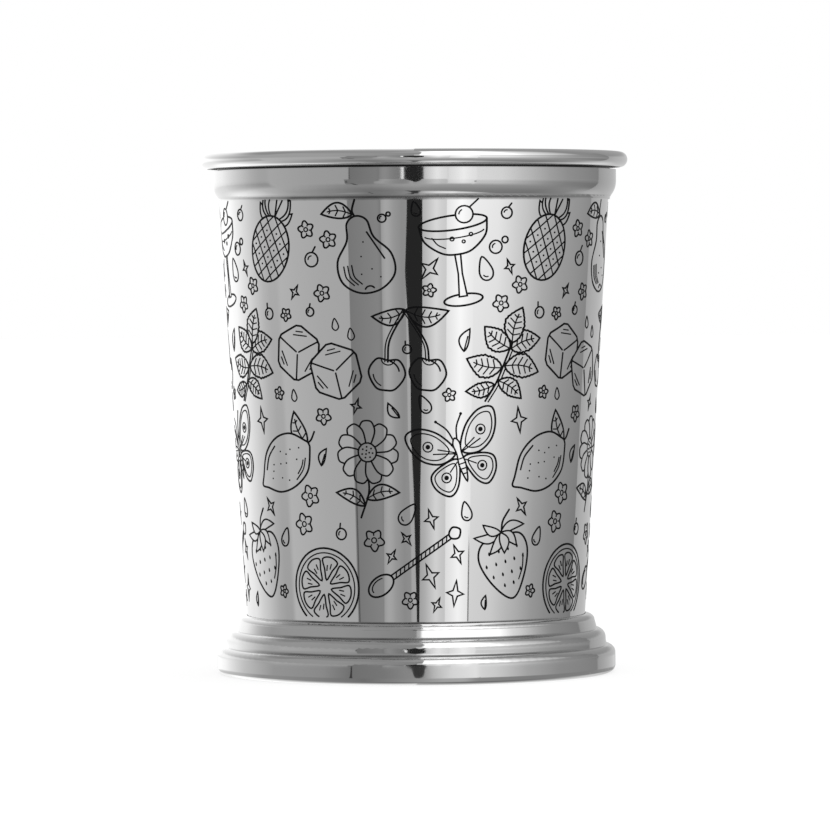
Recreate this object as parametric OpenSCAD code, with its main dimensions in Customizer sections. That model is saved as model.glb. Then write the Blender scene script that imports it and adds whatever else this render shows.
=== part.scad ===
// Julep cup in polished stainless steel: a drawn, tapered cup with a rolled lip,
// a moulded collar brazed on under the lip, and a stepped foot ring of sheet
// that a pressed plate closes underneath. Millimetres, +Z up, with the origin at
// the centre of the ring that the cup stands on.

/* [Cup] */
// Height from the table to the top of the lip
cup_h = 105; // [95:0.5:125]
// Outside radius of the cup at the underside of its floor
cup_bottom_r = 33.8; // [32.5:0.1:34.2]
// Outside radius of the cup where the lip begins to roll
cup_top_r = 39.7; // [38.5:0.05:39.9]
// Height of the cup's underside above the table
cup_floor_z = 5; // [4.8:0.1:6]
// Thickness of the cup's wall
cup_wall_t = 0.8; // [0.5:0.05:1.1]
// Thickness of the cup's floor
cup_floor_t = 0.9; // [0.6:0.05:1.4]
// Outside radius of the corner between wall and floor
cup_corner_r = 3.4; // [2:0.1:3.6]

/* [Lip] */
// Height of the rolled lip
lip_h = 3.1; // [2.8:0.05:4]
// How far the rolled lip reaches out past the top of the wall
lip_reach = 3.5; // [3:0.1:5]

/* [Collar] */
// How far the collar's lower edge stands out from the wall
collar_edge_t = 0.34; // [0.22:0.02:0.6]
// Height of the upright band above the ogee
collar_band_h = 2.35; // [2:0.05:4]
// Radius of the ogee's upper, convex arc
ogee_nose_r = 4.5; // [3.6:0.1:4.6]
// Radius of the ogee's lower, hollow arc
ogee_cove_r = 1.1; // [0.6:0.05:1.2]
// Angle at which the convex arc turns into the hollow one
ogee_turn = 39; // [34:1:40]
// Height of the collar's thin lower edge
collar_edge_h = 0.1; // [0.05:0.05:0.5]
// Gap between the rolled lip and the collar under it
lip_gap = 0.45; // [0.2:0.05:0.6]

/* [Foot] */
// How far the upper step reaches out past the wall
foot_upper_w = 1.9; // [1.7:0.05:2.2]
// How far the middle step reaches out past the upper one
foot_middle_w = 2.25; // [2.1:0.05:2.6]
// How far the lowest band reaches out past the middle step
foot_band_w = 1.95; // [1.6:0.05:3.5]
// Height of the lowest band
foot_band_h = 5.55; // [5.2:0.05:8]
// Height of the middle step
foot_middle_h = 3.25; // [3.1:0.05:4]
// Height of the upper step
foot_upper_h = 3; // [2.8:0.05:3.6]
// Height of the rounding on top of the lowest band
foot_band_nose_h = 1.65; // [1.2:0.05:2.2]
// Height of the rounding on top of the middle step
foot_middle_nose_h = 1.95; // [1.3:0.05:2.2]
// Height of the rounding on top of the upper step
foot_upper_nose_h = 1.25; // [1.1:0.05:1.8]
// Angle at which the side of the upper step flares out
foot_upper_flare = 15; // [8:1:18]
// Radius of the hollow sweep that forms the side of the middle step
foot_sweep_r = 4.3; // [3.8:0.1:6]
// Radius of the rounding along the foot's lower edges
foot_heel_r = 1.4; // [1.1:0.05:1.6]
// Thickness of the foot's sheet
foot_t = 0.9; // [0.6:0.05:1]
// Width of the flat ring that the cup stands on
foot_rest_w = 1.6; // [1:0.1:2.4]
// Height of the edge that is turned up inside the foot
foot_upstand_h = 4.4; // [4.2:0.1:4.6]

/* [Base plate] */
// Height of the plate's underside above the table
plate_z = 2.2; // [1.6:0.1:2.4]
// Thickness of the plate
plate_t = 0.8; // [0.5:0.05:1]
// Height of the plate's turned-up edge, from its underside
plate_rim_h = 2.2; // [1.8:0.1:2.4]
// Outside radius of the corner under the turned-up edge
plate_corner_r = 1.2; // [1.05:0.05:1.4]

/* [Brazing] */
// Gap that the brazing metal fills
braze_gap = 0.12; // [0.08:0.01:0.16]
// How far the brazing metal stops short of a visible edge
braze_setback = 0.4; // [0.2:0.05:0.8]
// Height of the brazing metal drawn into the groove round the base plate
braze_fillet_h = 0.6; // [0.3:0.05:0.9]

/* [Hidden] */
$fn = 180;
// Overrun that lets a cutting shape pass right through
over = 1;

lip_start_z = cup_h - lip_h;
lip_roll_r = lip_h / 2;
lip_mid_z = cup_h - lip_roll_r;
// Slope and angle of the cup's wall, from the radii at its two ends
wall_slope = (cup_top_r - cup_bottom_r) / (lip_start_z - cup_floor_z);
wall_angle = atan(wall_slope);
wall_lean = abs(sin(wall_angle));
// Centres of the lip's two round ends
lip_in_x = cup_r(lip_mid_z, cup_wall_t) + lip_roll_r;
lip_out_x = cup_top_r + lip_reach - lip_roll_r;
// The wall ends a little above those centres, where its edge lies within the roll's sheet
wall_end_z = lip_mid_z + (lip_h - cup_wall_t) * wall_lean;

// Heights of the collar, from the top down
collar_top_z = lip_start_z - lip_gap;
ogee_top_z = collar_top_z - collar_band_h;
ogee_turn_z = ogee_top_z - ogee_nose_r * sin(ogee_turn);
ogee_low_z = ogee_turn_z - ogee_cove_r * sin(ogee_turn);
collar_bottom_z = ogee_low_z - collar_edge_h;
// Radii from the collar's lower edge, at the wall, out to its upright band
collar_edge_x = cup_r(collar_bottom_z) + collar_edge_t;
ogee_cove_x = collar_edge_x + ogee_cove_r;
ogee_turn_x = ogee_cove_x - ogee_cove_r * cos(ogee_turn);
ogee_nose_x = ogee_turn_x - ogee_nose_r * cos(ogee_turn);
collar_r = ogee_nose_x + ogee_nose_r;

// Tops of the foot's steps
foot_middle_z = foot_band_h + foot_middle_h;
foot_h = foot_middle_z + foot_upper_h;
// Radii of the steps where each is steepest
foot_upper_r = cup_r(foot_h) + foot_upper_w;
foot_middle_r = foot_upper_r + foot_middle_w;
foot_band_r = foot_middle_r + foot_band_w;
// Heights of the sides below the rounded tops of the two upper steps
foot_upper_side_h = foot_upper_h - foot_upper_nose_h;
foot_middle_side_h = foot_middle_h - foot_middle_nose_h;
// Radii at which these sides run out onto the step below
foot_upper_out_r = foot_upper_r + foot_upper_side_h * tan(foot_upper_flare);
foot_middle_out_r = foot_middle_r + foot_sweep_r
    - sqrt(foot_sweep_r * foot_sweep_r - foot_middle_side_h * foot_middle_side_h);
// How far the flared side runs on at each end, inside the sheet, as a share of its length
flare_lap_share = 0.06;
// Underside of the upper step, where the sheet is folded double against the cup
foot_fold_z = foot_middle_z - foot_t;
heel_x = foot_band_r - foot_heel_r;
upstand_bend_x = heel_x - foot_rest_w;
upstand_r = upstand_bend_x - foot_heel_r;

plate_r = upstand_r - braze_gap;
plate_corner_x = plate_r - plate_corner_r;
plate_corner_z = plate_z + plate_corner_r;

// Radius of the cup at a height, at a depth below its outer face
function cup_r(z, depth = 0) =
    cup_bottom_r + wall_slope * (z - cup_floor_z) - depth / cos(wall_angle);

// Half section of the space within the cup's taper, taken in by a depth
module taper_outline(low_z, high_z, depth = 0) {
    polygon([
        [0, low_z],
        [cup_r(low_z, depth), low_z],
        [cup_r(high_z, depth), high_z],
        [0, high_z]
    ]);
}

// Half section of the cup up to a height, taken in by a depth at wall and floor
module cup_outline(wall_depth, floor_depth, high_z) {
    corner_r = cup_corner_r - wall_depth;
    low_z = cup_floor_z + floor_depth;
    corner_z = low_z + corner_r;
    corner_x = cup_r(corner_z, wall_depth) - corner_r;
    // The taper starts within the corner's arc, which it leaves at the arc's widest point
    taper_outline(corner_z - corner_r * wall_lean, high_z, wall_depth);
    translate([0, low_z]) square([corner_x, corner_r]);
    intersection() {
        translate([corner_x, corner_z]) circle(corner_r);
        translate([corner_x, low_z - over]) square([corner_r + over, corner_r + 2 * over]);
    }
}

// Half section of the lip's roll: a slot shape with round ends
module lip_slot(r) {
    translate([lip_in_x, lip_mid_z]) circle(r);
    translate([lip_out_x, lip_mid_z]) circle(r);
    translate([lip_in_x, lip_mid_z - r]) square([lip_out_x - lip_in_x, 2 * r]);
}

// Half section of the roll's outside, without the quarter where the wall comes up
module lip_outline() {
    difference() {
        lip_slot(lip_roll_r);
        translate([lip_in_x - lip_h, lip_mid_z - lip_h]) square(lip_h);
    }
}

// The sheet of the wall rolls outward at the top, and its edge ends above the collar
module cup_body() {
    color("gainsboro") rotate_extrude() difference() {
        union() {
            cup_outline(0, 0, wall_end_z);
            lip_outline();
        }
        cup_outline(cup_wall_t, cup_floor_t, cup_h + over);
        lip_slot(lip_roll_r - cup_wall_t);
    }
}

// Half section of the collar's outside: an upright band over an ogee of two arcs
module collar_outline() {
    difference() {
        polygon([
            [ogee_nose_x, collar_bottom_z],
            [collar_edge_x, collar_bottom_z],
            [collar_edge_x, ogee_low_z],
            [ogee_turn_x, ogee_turn_z],
            [collar_r, ogee_top_z],
            [collar_r, collar_top_z],
            [ogee_nose_x, collar_top_z]
        ]);
        translate([ogee_cove_x, ogee_low_z]) circle(ogee_cove_r);
    }
    intersection() {
        translate([ogee_nose_x, ogee_top_z]) circle(ogee_nose_r);
        translate([ogee_nose_x, ogee_turn_z]) square([ogee_nose_r + over, ogee_top_z - ogee_turn_z]);
    }
}

module rim_collar() {
    color("silver") rotate_extrude() difference() {
        collar_outline();
        taper_outline(collar_bottom_z - over, collar_top_z + over, -braze_gap);
    }
}

// A film of metal between the cup and a ring round it, from one height to another
module braze_film(low_z, high_z) {
    rotate_extrude() polygon([
        [cup_r(low_z), low_z],
        [cup_r(low_z, -braze_gap), low_z],
        [cup_r(high_z, -braze_gap), high_z],
        [cup_r(high_z), high_z]
    ]);
}

module rim_braze() {
    color("darkkhaki") braze_film(collar_bottom_z + braze_setback, collar_top_z - braze_setback);
}

// Half section of a step's rounded top, from the radius where it starts to its side
module step_nose(in_r, out_r, top_z, nose_h, depth) {
    nose_w = out_r - in_r;
    nose_z = top_z - nose_h;
    translate([0, nose_z]) square([in_r, nose_h - depth]);
    intersection() {
        translate([in_r, nose_z]) scale([(nose_w - depth) / (nose_h - depth), 1]) circle(nose_h - depth);
        translate([in_r, nose_z]) square([nose_w + over, nose_h + over]);
    }
}

// Half section of the middle step, which sweeps out hollow below its rounded top
module middle_step(depth) {
    sweep_x = foot_middle_r + foot_sweep_r;
    sweep_z = foot_middle_z - foot_middle_nose_h;
    step_nose(foot_upper_out_r, foot_middle_r, foot_middle_z, foot_middle_nose_h, depth);
    difference() {
        translate([0, foot_band_h - depth]) square([sweep_x, foot_middle_side_h + depth]);
        translate([sweep_x, sweep_z]) circle(foot_sweep_r + depth);
    }
}

// Half sections of the middle step and of the lowest band, taken in by a depth
module lower_steps(depth) {
    band_nose_z = foot_band_h - foot_band_nose_h;
    middle_step(depth);
    step_nose(foot_middle_out_r, foot_band_r, foot_band_h, foot_band_nose_h, depth);
    translate([0, foot_heel_r]) square([foot_band_r - depth, band_nose_z - foot_heel_r]);
}

// Half section of the upper step: a rounded top over a side that flares out
module upper_step() {
    side_z = foot_h - foot_upper_nose_h;
    lap_w = flare_lap_share * (foot_upper_out_r - foot_upper_r);
    lap_h = flare_lap_share * foot_upper_side_h;
    translate([cup_r(foot_h), side_z]) scale([foot_upper_w / foot_upper_nose_h, 1]) circle(foot_upper_nose_h);
    polygon([
        [0, foot_middle_z - lap_h],
        [foot_upper_out_r + lap_w, foot_middle_z - lap_h],
        [foot_upper_r - lap_w, side_z + lap_h],
        [0, side_z + lap_h]
    ]);
}

// A quarter of a bend in the foot's sheet, turning from downward to inward
module heel_bend() {
    difference() {
        intersection() {
            circle(foot_heel_r);
            translate([0, -foot_heel_r - over]) square(foot_heel_r + over);
        }
        circle(foot_heel_r - foot_t);
    }
}

// The sheet under the foot: rounded at the heel, flat where it rests, turned up inside
module rest_section() {
    translate([heel_x, foot_heel_r]) heel_bend();
    translate([upstand_bend_x, 0]) square([foot_rest_w, foot_t]);
    translate([upstand_bend_x, foot_heel_r]) mirror([1, 0]) heel_bend();
    translate([upstand_r, foot_heel_r]) square([foot_t, foot_upstand_h - foot_heel_r]);
}

module foot_ring() {
    color("silver") rotate_extrude() {
        difference() {
            union() {
                upper_step();
                lower_steps(0);
            }
            lower_steps(foot_t);
            taper_outline(-over, foot_h + over, -braze_gap);
        }
        rest_section();
    }
}

module foot_braze() {
    color("darkkhaki") braze_film(foot_fold_z + braze_setback, foot_h - braze_setback);
}

// Half section of the plate's pan shape, taken in by a depth
module plate_outline(depth, high_z) {
    corner_r = plate_corner_r - depth;
    translate([0, plate_z + depth]) square([plate_corner_x, high_z - plate_z - depth]);
    translate([plate_corner_x, plate_corner_z]) square([corner_r, high_z - plate_corner_z]);
    intersection() {
        translate([plate_corner_x, plate_corner_z]) circle(corner_r);
        translate([plate_corner_x, plate_z - over]) square(plate_corner_r + over);
    }
}

// A shallow pan, pressed up into the foot with its edge upward
module base_plate() {
    plate_top_z = plate_z + plate_rim_h;
    color("gainsboro") rotate_extrude() difference() {
        plate_outline(0, plate_top_z);
        plate_outline(plate_t, plate_top_z + over);
    }
}

// Brazing metal between the plate and the foot's turned-up edge, and in the groove below
module base_braze() {
    film_top_z = min(plate_z + plate_rim_h, foot_upstand_h);
    color("darkkhaki") rotate_extrude() {
        translate([plate_r, plate_corner_z]) square([braze_gap, film_top_z - plate_corner_z]);
        difference() {
            translate([plate_corner_x, plate_corner_z - braze_fillet_h])
                square([upstand_r - plate_corner_x, braze_fillet_h]);
            translate([plate_corner_x, plate_corner_z]) circle(plate_corner_r);
        }
    }
}

cup_body();
rim_collar();
rim_braze();
foot_ring();
foot_braze();
base_plate();
base_braze();
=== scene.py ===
"""Looks of the julep cup: polished steel, a line print round the wall, and the studio round it.

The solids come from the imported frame. Lengths are metres, and the print is drawn in
millimetres on the wall's flat development. Azimuths are in degrees, from the camera's side
(-Y) towards +X, and elevations in degrees above the horizon.
"""

import math
import random

import bpy
import numpy as np
from mathutils import Matrix, Vector
from mathutils.geometry import tessellate_polygon


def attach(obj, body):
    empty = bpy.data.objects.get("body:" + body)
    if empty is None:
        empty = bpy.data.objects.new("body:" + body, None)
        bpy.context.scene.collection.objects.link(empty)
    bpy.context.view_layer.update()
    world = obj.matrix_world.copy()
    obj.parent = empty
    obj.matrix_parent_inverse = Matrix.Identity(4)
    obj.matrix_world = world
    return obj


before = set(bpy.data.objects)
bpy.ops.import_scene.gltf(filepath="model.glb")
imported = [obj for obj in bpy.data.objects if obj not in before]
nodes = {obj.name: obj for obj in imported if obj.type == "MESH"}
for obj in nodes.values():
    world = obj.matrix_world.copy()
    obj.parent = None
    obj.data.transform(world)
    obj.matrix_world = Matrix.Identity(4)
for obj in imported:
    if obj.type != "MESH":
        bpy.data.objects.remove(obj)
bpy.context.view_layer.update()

MM = 0.001


# Materials


def new_material(name):
    """A material with its node tree and its Principled shader."""
    material = bpy.data.materials.new(name)
    material.use_nodes = True
    tree = material.node_tree
    shader = tree.nodes["Principled BSDF"]
    return material, tree, shader


def add_node(tree, kind, **settings):
    node = tree.nodes.new(kind)
    for name, value in settings.items():
        setattr(node, name, value)
    return node


def math_node(tree, operation, a, b=None):
    """A Math node whose inputs are numbers or sockets. It returns its output."""
    node = add_node(tree, "ShaderNodeMath", operation=operation)
    for socket, value in zip(node.inputs, (a, b)):
        if value is None:
            continue
        if isinstance(value, bpy.types.NodeSocket):
            tree.links.new(value, socket)
        else:
            socket.default_value = value
    return node.outputs[0]


def noise(tree, scale, stretch=(1, 1, 1), detail=3.0, roughness=0.5):
    """Noise in object coordinates, whose grain is finer along an axis with a larger stretch."""
    place = add_node(tree, "ShaderNodeTexCoord")
    mapping = add_node(tree, "ShaderNodeMapping")
    mapping.inputs["Scale"].default_value = stretch
    texture = add_node(tree, "ShaderNodeTexNoise")
    texture.inputs["Scale"].default_value = scale
    texture.inputs["Detail"].default_value = detail
    texture.inputs["Roughness"].default_value = roughness
    tree.links.new(place.outputs["Object"], mapping.inputs["Vector"])
    tree.links.new(mapping.outputs[0], texture.inputs["Vector"])
    return texture.outputs[0]


def spread(tree, value, low, high, out_low, out_high):
    """Maps a value's range onto another, and holds it within that."""
    node = add_node(tree, "ShaderNodeMapRange")
    for name, number in zip(("From Min", "From Max", "To Min", "To Max"), (low, high, out_low, out_high)):
        node.inputs[name].default_value = number
    tree.links.new(value, node.inputs["Value"])
    return node.outputs[0]


def mixed(tree, share, a, b):
    """A blend of two values by a share from 0 to 1."""
    node = add_node(tree, "ShaderNodeMix", data_type="FLOAT")
    for socket, value in zip((node.inputs[0], node.inputs[2], node.inputs[3]), (share, a, b)):
        if isinstance(value, bpy.types.NodeSocket):
            tree.links.new(value, socket)
        else:
            socket.default_value = value
    return node.outputs[0]


def inner_side(tree):
    """1 where the surface faces the cup's axis and 0 elsewhere."""
    geometry = add_node(tree, "ShaderNodeNewGeometry")
    level = add_node(tree, "ShaderNodeVectorMath", operation="MULTIPLY")
    level.inputs[1].default_value = (1, 1, 0)
    outward = add_node(tree, "ShaderNodeVectorMath", operation="NORMALIZE")
    facing = add_node(tree, "ShaderNodeVectorMath", operation="DOT_PRODUCT")
    tree.links.new(geometry.outputs["Position"], level.inputs[0])
    tree.links.new(level.outputs[0], outward.inputs[0])
    tree.links.new(outward.outputs[0], facing.inputs[0])
    tree.links.new(geometry.outputs["True Normal"], facing.inputs[1])
    return math_node(tree, "LESS_THAN", facing.outputs["Value"], INWARD)


def object_axes(tree):
    """The three object coordinates."""
    place = add_node(tree, "ShaderNodeTexCoord")
    parts = add_node(tree, "ShaderNodeSeparateXYZ")
    tree.links.new(place.outputs["Object"], parts.inputs[0])
    return parts.outputs


def length_of(tree, a, b):
    """The distance whose parts along two axes are a and b."""
    squares = [math_node(tree, "MULTIPLY", part, part) for part in (a, b)]
    return math_node(tree, "SQRT", math_node(tree, "ADD", *squares))


def radius_and_height(tree):
    """A point's distance from the cup's axis, and its height."""
    x, y, z = object_axes(tree)
    return length_of(tree, x, y), z


def rings(tree, value, scale):
    """Fine lines across a value, as a polishing wheel leaves round a turned part."""
    texture = add_node(tree, "ShaderNodeTexNoise", noise_dimensions="1D")
    texture.inputs["Scale"].default_value = scale
    texture.inputs["Detail"].default_value = 4.0
    tree.links.new(value, texture.inputs["W"])
    return texture.outputs[0]


def tinted(tree, share, dark, light):
    """A blend of two colours by a share from 0 to 1."""
    node = add_node(tree, "ShaderNodeMix", data_type="RGBA")
    node.inputs["A"].default_value = (*dark, 1)
    node.inputs["B"].default_value = (*light, 1)
    tree.links.new(share, node.inputs["Factor"])
    return node


def bumped(tree, shader, height, depth_mm):
    """Raises the surface by a height from 0 to 1 times a depth in millimetres."""
    bump = add_node(tree, "ShaderNodeBump")
    bump.inputs["Strength"].default_value = 1.0
    bump.inputs["Distance"].default_value = depth_mm * MM
    tree.links.new(height, bump.inputs["Height"])
    tree.links.new(bump.outputs[0], shader.inputs["Normal"])


def outer_radius(node, height):
    """Radius of a CAD piece's outside at a height, both in millimetres. The ray that finds it
    comes from outside and runs a hair beside the mesh's seam."""
    start = Vector((0.1, 1e-7, height * MM))
    _, place, _, _ = node.ray_cast(start, Vector((-1, 0, 0)))
    return math.hypot(place.x, place.y) / MM


def crease_shade(tree, radius, height, crease):
    """1 at the bottom of a crease that runs round the cup, falling to 0 within its reach."""
    crease_r, crease_z, reach = crease
    across = math_node(tree, "SUBTRACT", radius, crease_r * MM)
    along = math_node(tree, "SUBTRACT", height, crease_z * MM)
    return spread(tree, length_of(tree, across, along), 0.45 * reach * MM, reach * MM, 1.0, 0.0)


def towards_sides(tree, radius):
    """How far round a point is from the cup's front or back towards its sides, from 0 to 1."""
    x = object_axes(tree)[0]
    return math_node(tree, "DIVIDE", math_node(tree, "ABSOLUTE", x), radius)


def groove_shade(tree, radius, height):
    """Nearly 1 within the open groove under the lip, and a little on the collar's edge below it."""
    low, high = LIP_GROOVE
    middle, half = (low + high) / 2, (high - low) / 2
    off = math_node(tree, "ABSOLUTE", math_node(tree, "SUBTRACT", height, middle * MM))
    core = spread(tree, off, half * MM, (half + GROOVE_BLUR) * MM, 0.96, 0.0)
    deep = spread(tree, radius, (GROOVE_R - GROOVE_DEPTH) * MM, GROOVE_R * MM, 1.0, 0.0)
    edge = spread(tree, height, (low - EDGE_REACH) * MM, low * MM, 0.0, 0.12)
    below = math_node(tree, "LESS_THAN", height, low * MM)
    groove = math_node(tree, "MULTIPLY", core, deep)
    return math_node(tree, "MAXIMUM", groove, math_node(tree, "MULTIPLY", edge, below))


def painted_shade_share(tree, radius, height, satin_side):
    """Where shade is painted: in the groove under the lip and, in streaks that thin out towards the
    cup's sides, in the creases."""
    bright_side = math_node(tree, "SUBTRACT", 1.0, satin_side)
    painted_shade = math_node(tree, "MULTIPLY", groove_shade(tree, radius, height), bright_side)
    streaks = spread(tree, noise(tree, 70.0, detail=2.0), 0.35, 0.65, 0.58, 0.84)
    fading = spread(tree, towards_sides(tree, radius), 0.6, 0.85, 1.0, 0.0)
    streaks = math_node(tree, "MULTIPLY", streaks, fading)
    for crease in CREASES:
        shade = math_node(tree, "MULTIPLY", crease_shade(tree, radius, height, crease), streaks)
        painted_shade = math_node(tree, "MAXIMUM", painted_shade, shade)
    return painted_shade


def polished_steel(name, tones, polish, ripple):
    """Mirror-polished stainless steel, satin inside the cup. Painted shade darkens the creases and
    makes the groove under the lip nearly black. tones and polish are the ranges of its reflectance
    and roughness."""
    material, tree, shader = new_material(name)
    shader.inputs["Metallic"].default_value = 1.0
    radius, height = radius_and_height(tree)
    marks = rings(tree, math_node(tree, "ADD", radius, height), 9000.0)
    clouds = noise(tree, 45.0, detail=4.0)
    bowl_floor = math_node(tree, "LESS_THAN", radius, BOWL_FLOOR_R * MM)
    satin_side = math_node(tree, "MAXIMUM", inner_side(tree), bowl_floor)
    # Shade painted into the creases and the groove under the lip
    painted_shade = painted_shade_share(tree, radius, height, satin_side)
    smooth = spread(tree, clouds, 0.3, 0.7, *polish)
    satin = spread(tree, marks, 0.3, 0.7, 0.24, 0.36)
    finish = mixed(tree, satin_side, smooth, satin)
    tree.links.new(mixed(tree, painted_shade, finish, PAINTED_SHADE_ROUGHNESS), shader.inputs["Roughness"])
    tint = tinted(tree, clouds, [tones[0]] * 3, [tones[1]] * 3)
    # The painted shade turns the colour nearly black
    shaded_tint = tinted(tree, painted_shade, [0] * 3, [PAINTED_SHADE_TONE] * 3)
    tree.links.new(tint.outputs["Result"], shaded_tint.inputs["A"])
    tree.links.new(shaded_tint.outputs["Result"], shader.inputs["Base Color"])
    waves = noise(tree, 28.0, stretch=(1, 1, 0.25), detail=1.0)
    ripples = math_node(tree, "MULTIPLY", noise(tree, 130.0, stretch=(1, 1, 2.5), detail=2.0), ripple)
    fine = math_node(tree, "MULTIPLY", marks, mixed(tree, satin_side, 0.004, 0.16))
    uneven = math_node(tree, "ADD", waves, ripples)
    bumped(tree, shader, math_node(tree, "ADD", uneven, fine), 0.012)
    return material


def satin_steel():
    """Stainless steel turned to a satin finish in fine rings."""
    material, tree, shader = new_material("satin_steel")
    shader.inputs["Metallic"].default_value = 1.0
    radius, _ = radius_and_height(tree)
    marks = rings(tree, radius, 7000.0)
    stains = noise(tree, 60.0, detail=5.0)
    tree.links.new(spread(tree, marks, 0.3, 0.7, 0.22, 0.38), shader.inputs["Roughness"])
    tint = tinted(tree, stains, [0.62] * 3, [0.72] * 3)
    tree.links.new(tint.outputs["Result"], shader.inputs["Base Color"])
    bumped(tree, shader, marks, 0.004)
    return material


def brazing_metal():
    """Silver brazing alloy, cleaned but not polished: slightly yellow, with a skin of pits."""
    material, tree, shader = new_material("braze")
    shader.inputs["Metallic"].default_value = 1.0
    pits = noise(tree, 900.0, detail=5.0)
    tree.links.new(spread(tree, pits, 0.3, 0.7, 0.32, 0.55), shader.inputs["Roughness"])
    tint = tinted(tree, pits, (0.42, 0.39, 0.31), (0.60, 0.57, 0.47))
    tree.links.new(tint.outputs["Result"], shader.inputs["Base Color"])
    bumped(tree, shader, pits, 0.03)
    return material


def black_ink():
    """Screen-printed enamel: near black, with a faint sheen that the screen's mesh breaks up."""
    material, tree, shader = new_material("black_ink")
    mesh_marks = noise(tree, 2600.0, detail=2.0)
    tree.links.new(spread(tree, mesh_marks, 0.3, 0.7, 0.34, 0.5), shader.inputs["Roughness"])
    shader.inputs["Specular IOR Level"].default_value = 0.06
    tint = tinted(tree, mesh_marks, (0.0025, 0.0025, 0.003), (0.0045, 0.0045, 0.005))
    tree.links.new(tint.outputs["Result"], shader.inputs["Base Color"])
    bumped(tree, shader, mesh_marks, 0.002)
    return material


def set_material(obj, material):
    obj.data.materials.clear()
    obj.data.materials.append(material)


# In millimetres: the heights of the foot steps' tops, the collar's lower edge and the groove's
# two edges, then the groove's radius at its mouth, how far in it turns fully dark, how softly it
# ends, and how far below it the collar's edge is shaded
FOOT_STEP_TOPS = (11.8, 8.8, 5.55)
COLLAR_LOW = 95.48
LIP_GROOVE = (101.56, 101.98)
GROOVE_R, GROOVE_DEPTH, GROOVE_BLUR, EDGE_REACH = 41.9, 0.3, 0.05, 0.4
# Every surface of the cup nearer to the axis than this is its floor
BOWL_FLOOR_R = 32
# A surface faces the axis where its normal's outward part is below this
INWARD = -0.2
# Colour and roughness of the painted shade in the creases and the groove under the lip
PAINTED_SHADE_TONE, PAINTED_SHADE_ROUGHNESS = 0.02, 0.4
# A crease's radius is taken just above it. The last number is how far its painted shade reaches.
ABOVE_CREASE = 0.06
CREASES = tuple(
    (outer_radius(nodes[node], top + ABOVE_CREASE), top, reach)
    for node, top, reach in (
        ("cup_body", FOOT_STEP_TOPS[0], 0.34),
        ("foot_ring", FOOT_STEP_TOPS[1], 0.42),
        ("foot_ring", FOOT_STEP_TOPS[2], 0.42),
        ("rim_collar", COLLAR_LOW, 0.62),
    )
)

BRAZE = brazing_metal()
TRIM_STEEL = polished_steel("trim_steel", (0.68, 0.72), (0.035, 0.075), 0.12)
set_material(nodes["cup_body"], polished_steel("polished_steel", (0.80, 0.83), (0.018, 0.035), 0.0))
for name in ("rim_collar", "foot_ring"):
    set_material(nodes[name], TRIM_STEEL)
for name in ("rim_braze", "foot_braze", "base_braze"):
    set_material(nodes[name], BRAZE)
set_material(nodes["base_plate"], satin_steel())


# The line print. Points of the drawing are complex numbers x + 1j * y, in millimetres.

FINE, MEDIUM, BOLD = 0.26, 0.33, 0.39


def polar(radius, degrees):
    return radius * np.exp(1j * np.radians(degrees))


def spline(knots, closed=False, steps=8):
    """A smooth curve through the knots."""
    k = np.asarray(knots, complex)
    if closed:
        k = np.concatenate([k[-1:], k, k[:2]])
    else:
        k = np.concatenate([2 * k[:1] - k[1:2], k, 2 * k[-1:] - k[-2:-1]])
    a, b, c, d = k[:-3], k[1:-2], k[2:-1], k[3:]
    t = np.linspace(0, 1, steps, endpoint=False)[:, None]
    bend = t * (2 * a - 5 * b + 4 * c - d) + t * t * (3 * (b - c) + d - a)
    curve = (b + 0.5 * t * (c - a + bend)).T.ravel()
    return curve if closed else np.append(curve, c[-1])


def arc(centre, radius, start, stop, steps=24, squash=1.0, turn=0.0):
    """An arc from one angle to another, in degrees, of an ellipse that may be turned."""
    circle = polar(radius, np.linspace(start, stop, steps))
    return centre + (circle.real + 1j * squash * circle.imag) * polar(1, turn)


def ring(centre, radius, squash=1.0, turn=0.0, steps=32):
    return arc(centre, radius, 0, 360, steps + 1, squash, turn)[:-1]


def resample(points, closed, step=0.2):
    """The same line with a point about every step along it."""
    p = np.asarray(points, complex)
    if closed:
        p = np.append(p, p[0])
    along = np.append(0, np.cumsum(abs(np.diff(p))))
    count = max(2, int(round(along[-1] / step)) + 1)
    at = np.unique(np.concatenate([np.linspace(0, along[-1], count), along]))
    line = np.interp(at, along, p.real) + 1j * np.interp(at, along, p.imag)
    return line[:-1] if closed else line


def inside(points, outline):
    """Which points lie within a closed outline."""
    x, y = points.real[:, None], points.imag[:, None]
    a, b = outline, np.roll(outline, -1)
    rise = np.where(a.imag == b.imag, 1, b.imag - a.imag)
    left = x < (b.real - a.real) * (y - a.imag) / rise + a.real
    return (((a.imag > y) != (b.imag > y)) & left).sum(1) % 2 == 1


def kept_runs(points, closed, keep):
    """The stretches of a line whose points are kept, as (points, closed) pairs."""
    if keep.all():
        return [(points, closed)]
    if closed:
        first = int(np.argmin(keep))
        points, keep = np.roll(points, -first), np.roll(keep, -first)
    edges = np.flatnonzero(np.diff(np.concatenate([[0], keep.astype(int), [0]])))
    return [(points[a:b], False) for a, b in edges.reshape(-1, 2) if b - a > 1]


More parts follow.
